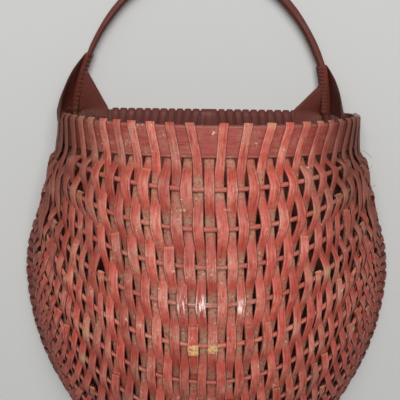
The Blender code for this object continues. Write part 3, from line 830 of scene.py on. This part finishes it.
def crossing(line, along):
    """Where a splint crosses a line: the point, and the ways across it, before it, after it and out of it."""
    along += lean(line, along)
    left = place_on(line, along - 0.003)
    right = place_on(line, along + 0.003)
    across = (right - left).normalized()
    share = along / FREE_LENGTH[line]
    ways = []
    for k in (line - 1, line):
        if k < 0:
            ways.append(Vector((0, 0, -1)))
        elif k + 1 > BACK_RIM:
            ways.append(Vector((0, 0, 1)))
        else:
            here, there = (place_on(m, share * FREE_LENGTH[m]) for m in (k, k + 1))
            ways.append((there - here).normalized())
    on = (ways[0] + ways[1]).normalized()
    return Crossing((left + right) / 2, across, *ways, on.cross(across).normalized())


WORN_PLACES = (
    (-0.0165, 0.195), (-0.003, 0.195), (-0.008, 0.238), (-0.069, 0.196), (-0.069, 0.186), (-0.120, 0.220),
)
WORN_REACH = 0.008


def wear_at(place):
    """Bare oak shows by chance, and at a few places low on the front: aside of the middle, below the rim."""
    for aside, down in WORN_PLACES:
        if place.y < -0.05 and hypot(place.x - aside, RIM_TOP - down - place.z) < WORN_REACH:
            return 0.9
    return chance.uniform(0.4, 0.9) if chance.random() < 0.02 else 0


# A key is a place that a splint passes through, with what its ring has there and its swing to the side
Key = namedtuple("Key", "place across half level wear swing")


def rib_key(line, along, half, outside, fade=1.0):
    """Where a splint crosses a rib, on the outside or the inside of it.

    Neighbours swing to each other by turns, so that the gaps are small triangles that stand on the ribs.
    """
    at, across, before, after, out = crossing(line, along + chance.uniform(-0.0006, 0.0006))
    lift = ((ROD if line == HOOP else RIB) + SPLINT_HALF_THICKNESS + 0.0001) * fade
    side = 1 if outside else -1
    swing = zigzag(along, line) * half * side * fade * (1 if along > 0 else -1 if along < 0 else 0)
    return Key(at + out * lift * side, across, half, side * fade, wear_at(at), swing)


def hoop_keys(along, half, outside):
    """Round the hoop on the outside in three bends, or past it on the inside in one."""
    if not outside:
        return [rib_key(HOOP, along, half, False)]
    at, across, before, after, out = crossing(HOOP, along + chance.uniform(-0.0005, 0.0005))
    front = (before.cross(across) - before * 0.25).normalized()
    back = (after.cross(across) + after * 0.25).normalized()
    lift = ROD + SPLINT_HALF_THICKNESS + 0.0002
    return [Key(at + front.slerp(back, i / 3) * lift, across, half * 1.2, 1, 0, 0) for i in range(4)]


def band_key(line, along, height, outside, half, level, wear=0):
    """Beside the rim band, this high over its middle."""
    at, across, before, after, out = crossing(line, along)
    away = Vector((0, 0, -1 if line == 0 else 1)).cross(across).normalized()
    reach = BAND_THICKNESS / 2 + SPLINT_HALF_THICKNESS + BESIDE_RIM
    return Key(at + away * (reach * outside) + Vector((0, 0, height)), across, half, level, wear, 0)


def rim_loop(line, out_along, in_along, half, slant, flare=0):
    """From outside the band's lower edge, over its top, to inside its lower edge, leaning over as it goes.

    The flare is how many times further than its neighbours it stands off the band's foot.
    """
    top = BAND_HEIGHT / 2
    rise = SPLINT_HALF_THICKNESS + OVER_RIM
    step = in_along - out_along
    worn_top = chance.uniform(0, 0.8) if chance.random() < 0.5 else 0
    if flare and out_along < 0:
        worn_top = max(worn_top, 0.75)
    return [
        band_key(line, out_along + step * slant * 0.15, -top - 0.002, 1 + flare, half, 1),
        band_key(line, out_along + step * slant * 0.42, -top * 0.3, 1 + 0.55 * flare, half, 1),
        band_key(line, out_along + step * slant * 0.93, top - 0.001, 1, half, 0.8, worn_top * 0.4),
        band_key(line, out_along + step * (slant + 0.05), top + rise, 0, half, 0.6, worn_top),
        band_key(line, out_along + step * (slant + 0.1), top - 0.001, -1, half, 0.1),
        band_key(line, in_along, -top - 0.002, -1, half, -0.6),
    ]


def rib_turn(row, side):
    """Round its first rib, from the place of the way down to the place of the way back."""
    line = ROWS[row][0]
    sign = 1 if line % 2 == 0 else -1
    ends = [side * along_line(line, row, back) for back in (False, True)]
    start, middle, end = (crossing(line, along) for along in (ends[0], sum(ends) / 2, ends[1]))
    reach = RIB + SPLINT_HALF_THICKNESS + 0.0004
    half = max(0.0030, splint_half_width(line, row, False, side))
    on = (middle.before + middle.after).normalized()
    return [
        Key(start.at + start.out * sign * reach, start.across, half, 0.7 * sign, 0.6, 0),
        Key(middle.at - on * reach * 1.3 + middle.out * 0.0012, middle.across, half * 1.05, 0, 1, 0),
        Key(end.at - end.out * sign * reach, end.across, half, -0.7 * sign, 0.6, 0),
    ]


CUT_END_LENGTH = 0.006
ROOM_BY_HOOP = 0.018


def way_keys(row, side, coming_back):
    """One way of a row, from its first line to its last, without its turn.

    Where a filler rib has ended, the splint goes on towards its place at the next long rib, but low and away
    from the hoop, where there is room for it.
    """
    first, last = ROWS[row]
    keys = []
    for line in range(first + 1, min(last + 1, BACK_RIM)):
        along = side * along_line(line, row, coming_back)
        half = splint_half_width(line, row, coming_back, side)
        outside = (line % 2 == 0) != coming_back
        if line == HOOP:
            keys += hoop_keys(along, half, outside)
        elif crosses(line, row):
            keys.append(rib_key(line, along, half, outside))
        else:
            here = place_on(line, along)
            to_hoop = min((here - (a + b) / 2).length for a, b in zip(LINES[HOOP], LINES[HOOP][1:]))
            if here.z < BAND_MIDDLE - BAND_HEIGHT and to_hoop > ROOM_BY_HOOP:
                step = line % PRIMARY_EVERY
                from_outside = ((line - step) % 2 == 0) != coming_back
                keys.append(rib_key(line, along, half, from_outside, 1 - 2 * step / PRIMARY_EVERY))
    if last < BACK_RIM:
        cut_end = keys[-1].place + crossing(last, along).after * CUT_END_LENGTH
        keys.append(keys[-1]._replace(place=cut_end, half=keys[-1].half * 0.8, wear=1))
    return keys


PINCH = 0.04
LEAST_PASS = 0.012
WEAR_SHARE = 0.22


def strip_rings(keys, closed):
    """Rings along a splint: it is a little narrower where it passes between its neighbours."""
    rings = []
    for place, i, u in smooth_curve([key.place for key in keys], closed, SPLINT_SPACING):
        a, b = keys[i], keys[(i + 1) % len(keys)]
        across = a.across.lerp(b.across, u).normalized()
        passes = a.level * b.level < 0 and (b.place - a.place).length > LEAST_PASS
        half = (a.half + (b.half - a.half) * u) * (1 - PINCH * sin(pi * u) ** 2 * passes)
        ease = u * u * (3 - 2 * u)
        level = a.level + (b.level - a.level) * ease
        wear = max(a.wear * (1 - u / WEAR_SHARE), b.wear * (1 - (1 - u) / WEAR_SHARE), 0)
        swing = a.swing + (b.swing - a.swing) * (u - 0.05 * sin(tau * u))
        rings.append(Ring(place + across * swing, across, half, SPLINT_HALF_THICKNESS, level, wear))
    return rings


def row_keys(row, side):
    """One splint: a closed round for a row that reaches both rims, or a length with two cut ends."""
    first, last = ROWS[row]
    down = way_keys(row, side, False)
    back = way_keys(row, side, True)
    if first == 0:
        ends = [side * along_line(0, row, b) for b in (False, True)]
        share = abs(ends[0]) / FREE_LENGTH[0]
        # Over the rim the left rows lean alike. The right ones lean more towards the side, but for the last.
        slant = 0.95 if side < 0 else 2.3 * share**0.6 - 6 * max(0, share - 0.85)
        slant += chance.uniform(-0.15, 0.15)
        flare = max(0, share - 0.6) / 0.4 * (2.3 if side < 0 else 1.4)
        turn = rim_loop(0, *ends, min(WIDEST_ON_RIM, splint_half_width(0, row, False, side)), slant, flare)
    else:
        turn = rib_turn(row, side)
    keys = list(reversed(down)) + turn + back
    if last == BACK_RIM:
        ends = [side * along_line(BACK_RIM, row, b) for b in (False, True)]
        keys += reversed(rim_loop(BACK_RIM, *ends, splint_half_width(BACK_RIM, row, False, side) * 1.25, 0.1))
    return keys, last == BACK_RIM


LEAST_SPLICE = 6
SPLICE_LIFT = 0.0013


def spliced_end(name, rings, seed):
    """Where a new splint was laid over the old one's end: a second layer over one rib, with a cut end on top.

    It starts on the front, where the splint comes to the top and goes down, and ends where it dives.
    """
    starts = [
        i for i in range(8, len(rings) - 24)
        if rings[i].level < 0.25 <= rings[i + 1].level
        and rings[i].place.y < -0.075
        and rings[i + LEAST_SPLICE].place.z < rings[i].place.z
    ]
    if not starts:
        return None
    first = chance.choice(starts)
    last = first + LEAST_SPLICE
    while last < len(rings) - 2 and rings[last].level > -0.7:
        last += 1
    layer = []
    for ring in rings[first : last + 1]:
        lifted = ring.place + (ring.place - Vector(HEART)).normalized() * SPLICE_LIFT
        layer.append(ring._replace(place=lifted, half_width=ring.half_width * 0.96, wear=0))
    layer[0] = layer[0]._replace(wear=0.5)
    return bent_wood(name, layer, False, 8, 0.5, seed)


def joined(pieces, name):
    """Joins pieces into the first of them, under a new name."""
    bpy.ops.object.select_all(action="DESELECT")
    for piece in pieces:
        piece.select_set(True)
    bpy.context.view_layer.objects.active = pieces[0]
    bpy.ops.object.join()
    pieces[0].name = name
    return pieces[0]


# The splints' paint is worn most: pink on the crowns, partly as a painted highlight, red where they slope,
# and dusty brown where they dive
splint_paint = painted_oak(
    "worn_red_milk_paint_on_oak_splint",
    deep="6b1e14", worn="9f4033", pale="d38878", dusty="987560", dust=0.95, darken_top=0.85,
)
for side, word in ((-1, "left"), (1, "right")):
    fill_ins = []
    for row in range(len(ROWS)):
        keys, closed = row_keys(row, side)
        node = NODE_OF_ROW[row]
        name = f"woven_splint_{word}_{node:02d}" if node else f"fill_in_{word}_{row:02d}"
        rings = strip_rings(keys, closed)
        splint = bent_wood(name, rings, closed, 8, 0.66, 100 + 50 * side + row)
        if node:
            dress(splint, splint_paint, "painted_splint", f"splint_{word}_{node:02d}")
        else:
            fill_ins.append(splint)
        if row < 20 and chance.random() < 0.7:
            layer = spliced_end(f"splice_{word}_{row}", rings, 400 + 50 * side + row)
            if layer:
                fill_ins.append(layer)
    dress(joined(fill_ins, f"fill_in_splints_{word}"), splint_paint, "painted_splint")

# Frayed fibres of the oak stick out where short splints turn and where the sides are rubbed, thin as a
# bristle. The longest one curls out to the right under the rim.
FIBRE_RADIUS = 0.00014
LONGEST_FIBRE = 0.014
for side, word, count in ((-1, "left", 3), (1, "right", 7)):
    fibres = []
    for k in range(count):
        longest = side > 0 and k == 0
        line = 1 if longest else chance.choice((2, 3, 4, 5, 6))
        share = 1.0 if longest else chance.uniform(0.80, 1.02)
        at, across, before, after, out = crossing(line, side * share * FREE_LENGTH[line])
        reach = chance.uniform(0.006, 0.011)
        aim = out * chance.uniform(0.5, 1.0) + across * side * chance.uniform(0.2, 1.4)
        aim -= after * chance.uniform(-0.6, 0.9)
        if longest:
            reach = LONGEST_FIBRE
            aim = Vector((0.95, 0, 0.10))
        aim.normalize()
        bow = after.cross(aim).normalized() * (reach * chance.uniform(-0.3, 0.3))
        bow -= Vector((0, 0, reach * 0.25))
        if longest:
            at = at - Vector((0.003, 0, 0.006))
            bow = Vector((0, 0, -0.65 * reach))
        rings = []
        for i in range(7):
            u = i / 6
            place = at + out * 0.002 + aim * (reach * u) + bow * (u * u)
            rings.append(Ring(place, across, FIBRE_RADIUS, FIBRE_RADIUS, 0.5, 0.4))
        fibres.append(bent_wood(f"fibre_{word}_{k}", rings, False, 4, 1, 700 + k))
    dress(joined(fibres, f"frayed_fibres_{word}"), splint_paint, "painted_splint")

# The single splint on the middle line is a strip like the others. It comes from behind the front band, where
# its end is tucked, goes down the belly and up the back, and ends over the back band.
MIDDLE_HALF_WIDTH = 0.0046
inside = [band_key(0, 0, h, -1, MIDDLE_HALF_WIDTH, -0.8) for h in (0.006, -BAND_HEIGHT / 2)]
middle = []
for line in range(1, BACK_RIM):
    if line == HOOP:
        middle += hoop_keys(0, MIDDLE_HALF_WIDTH, False)
    else:
        middle.append(rib_key(line, 0, MIDDLE_HALF_WIDTH, line % 2 == 1))
over_back = list(reversed(rim_loop(BACK_RIM, 0, 0.001, MIDDLE_HALF_WIDTH, 0.5)))
splint = bent_wood("woven_splint_middle", strip_rings(inside + middle + over_back, False), False, 8, 0.66, 50)
dress(splint, splint_paint, "painted_splint", "splint_middle")

# The ears: splint folded round the bow, the front rim, the hoop and the back rim in turn, each round outside
# the one before. The rounds make flat wings of taut strands, and ladders of short bars over the four rods.
EAR_ROUNDS = 13
EAR_HALF_THICKNESS = 0.0006
EAR_CLEAR = 0.0003
STRAND_HALF_WIDTH = 0.0025
BAR_HALF_WIDTH = 0.0026
BAND_BAR_HALF_WIDTH = 0.0021
BACK_STRAND_HALF_WIDTH = 0.0019
EAR_FORWARD = 0.038
EAR_DOWN = 0.044
# The ears' paint is sheltered by the wall: dark maroon, and darker still as painted shade for their place by
# the wall, almost without wear or dust
ear_paint = painted_oak(
    "maroon_milk_paint_with_painted_shade_on_folded_splint",
    deep="481410", worn="742f28", pale="96503f", dusty="6d4a3a", dust=0.2, darken_top=0.0,
)


def rod_frame(height):
    """On the rod as it was bent, at this height over the rim's top: its place and the way along it."""
    def at(h):
        z = RIM_TOP + h
        return Vector((bow_half_width(z) if h > -BAND_HEIGHT else hoop_half_width(z), 0, z))
    return at(height), (at(height + 0.002) - at(height)).normalized()


def front_rim_point(distance):
    """On the band, this far forward from the rim's corner, with the way along it and the way out."""
    points = list(reversed(rim_front_line()))
    left = distance
    for a, b in zip(points, points[1:]):
        if left <= (b - a).length:
            break
        left -= (b - a).length
    along = (b - a).normalized()
    return a + along * left, along, Vector((-along.y, along.x, 0)) * (-1 if along.y > 0 else 1)


# The two ears differ in how high they climb the bow, how wide the wing along the back rim is and how high it
# starts, which face of the front band the front wing ends on, how far that wing is pushed out, how far
# forward it reaches, and how much of that its first round has already gone.
for side, word, ear_up, wing, wing_up, face, puff, wing_forward, wing_lag in (
    (-1, "left", 0.052, 0.022, 0.038, 1, 0.005, 0.038, 0.0),
    (1, "right", 0.043, 0.038, 0.029, -1, 0.004, 0.063, 0.86),
):
    strands = []

    def strand(keys, closed=False, half_width=STRAND_HALF_WIDTH):
        """A strand through (place, way across) keys, given for the right ear and mirrored for the left."""
        turned = [(Vector((p.x * side, p.y, p.z)), Vector((a.x * side, a.y, a.z))) for p, a in keys]
        rings = []
        for place, i, u in smooth_curve([p for p, a in turned], closed, 0.003):
            across = turned[i][1].lerp(turned[(i + 1) % len(turned)][1], u).normalized()
            rings.append(Ring(place, across, half_width, EAR_HALF_THICKNESS, 0.4, 0))
        seed = 300 + 100 * side + len(strands)
        strands.append(bent_wood(f"strand_{word}_{len(strands)}", rings, closed, 6, 0.8, seed))

    def ring_round(centre, along, half_x, half_y, lean_over):
        """A bar wound round a rod: a closed ring that leans along the rod by this much."""
        sideways = along.cross(Vector((0, 1, 0))).normalized()
        keys = []
        for i in range(8):
            turn = tau * i / 8
            place = centre + sideways * (half_x * cos(turn)) + Vector((0, half_y * sin(turn), 0))
            keys.append((place + along * (lean_over * cos(turn)), along))
        strand(keys, True, BAR_HALF_WIDTH)

    def taut(start, end, across, bulge, tail=(), half_width=STRAND_HALF_WIDTH):
        """A taut strand from one rod to the next, pushed out in its middle by the rounds under it."""
        keys = [(start, across)]
        for u in (0.3, 0.6, 0.85):
            keys.append((start.lerp(end, u) + bulge * (4 * u * (1 - u)), across))
        strand(keys + [(end, across)] + list(tail), False, half_width)

    up = Vector((0, 0, 1))
    reach = BAND_THICKNESS / 2 + EAR_HALF_THICKNESS + EAR_CLEAR
    for r in range(EAR_ROUNDS):
        share = (r + 0.1) / (EAR_ROUNDS - 0.9)
        centre, along = rod_frame(0.001 + ear_up * share)
        slim, aside = whittled(Vector((centre.x * side, 0, centre.z)))
        centre = centre + Vector((aside * side, 0, 0))
        around = slim + EAR_HALF_THICKNESS + 0.0006
        deep_around = ROD + EAR_HALF_THICKNESS + EAR_CLEAR
        ring_round(centre, along, around, deep_around, 0.0009)
        corner, rim_along, rim_out = front_rim_point(EAR_FORWARD * share)
        band_top = corner + up * (BAND_HEIGHT / 2)
        band_foot = corner - up * (BAND_HEIGHT / 2)
        # Round the front band
        off = rim_out * reach
        round_band = [
            band_top + off, corner + off, band_foot + off, band_foot - up * 0.0012,
            band_foot - off, corner - off, band_top - off, band_top + up * 0.0012,
        ]
        strand([(place, rim_along) for place in round_band], True, BAND_BAR_HALF_WIDTH)
        # From the bow to the front band
        start = centre + Vector((around, -0.001, 0))
        wing_foot, wing_along, wing_out = front_rim_point(wing_forward * (wing_lag + (1 - wing_lag) * share))
        end = wing_foot + up * (BAND_HEIGHT / 2) + wing_out * (face * (reach + 0.0006 + 0.00008 * r))
        bulge = Vector((1, -0.4, 0.2)) * (puff * (0.4 + 0.6 * share))
        across = (end - start).cross(Vector((1, 0, 0))).normalized()
        taut(start, end, across, bulge, [(end - up * 0.008, wing_along)])
        # From the front band to the hoop, and round the hoop
        low, low_along = rod_frame(-BAND_HEIGHT - 0.004 - EAR_DOWN * share)
        low = low + Vector((whittled(Vector((low.x * side, 0, low.z)))[1] * side, 0, 0))
        start = band_foot + rim_out * (reach + 0.0004)
        end = low + Vector((ROD + EAR_HALF_THICKNESS + 0.0004, -0.002, 0))
        across = (end - start).cross(Vector((1, 0, 0))).normalized()
        taut(start, end, across, Vector((0.002, -0.002, 0)))
        ring_round(low, low_along, deep_around, deep_around, 0)
        # From the hoop to the back band, round it, and on to the bow, before and behind
        back_top = Vector((EAR_X - wing * share, BACK_Y, RIM_TOP + 0.001))
        back_foot = back_top - up * (BAND_HEIGHT + 0.002)
        wing_centre = rod_frame(0.001 + wing_up * share)[0] + Vector((aside * side, 0, 0))
        across = (back_top - wing_centre).cross(Vector((0, 1, 0))).normalized()
        for towards in (-1, 1):
            start = rod_frame(-BAND_HEIGHT - 0.004 - 0.066 * share)[0] + Vector((0, towards * deep_around, 0))
            end = back_foot + Vector((-0.007 * share, towards * reach, 0))
            taut(start, end, (end - start).cross(Vector((0, 1, 0))).normalized(), Vector((0, 0, 0)))
            lift = 0 if towards > 0 else -0.00014 * r
            deep = deep_around if towards > 0 else 0.5 * deep_around
            start = wing_centre + Vector((0, towards * deep + lift, 0))
            end = back_top + Vector((0, towards * reach + lift, 0))
            tail = [(end - up * 0.008, Vector((1, 0, 0)))]
            taut(start, end, across, Vector((0, 0, 0)), tail, BACK_STRAND_HALF_WIDTH)
        inside = Vector((0, -reach, 0))
        up_a_little = Vector((0, 0, 0.002))
        round_band = [
            back_top + inside - up_a_little, back_foot + inside + up_a_little, back_foot,
            back_foot - inside + up_a_little, back_top - inside - up_a_little, back_top,
        ]
        strand([(place, Vector((1, 0, 0))) for place in round_band], True)
    dress(joined(strands, f"folded_ear_{word}"), ear_paint, "painted_lashing", f"ear_lashing_{word}")

low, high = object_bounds()
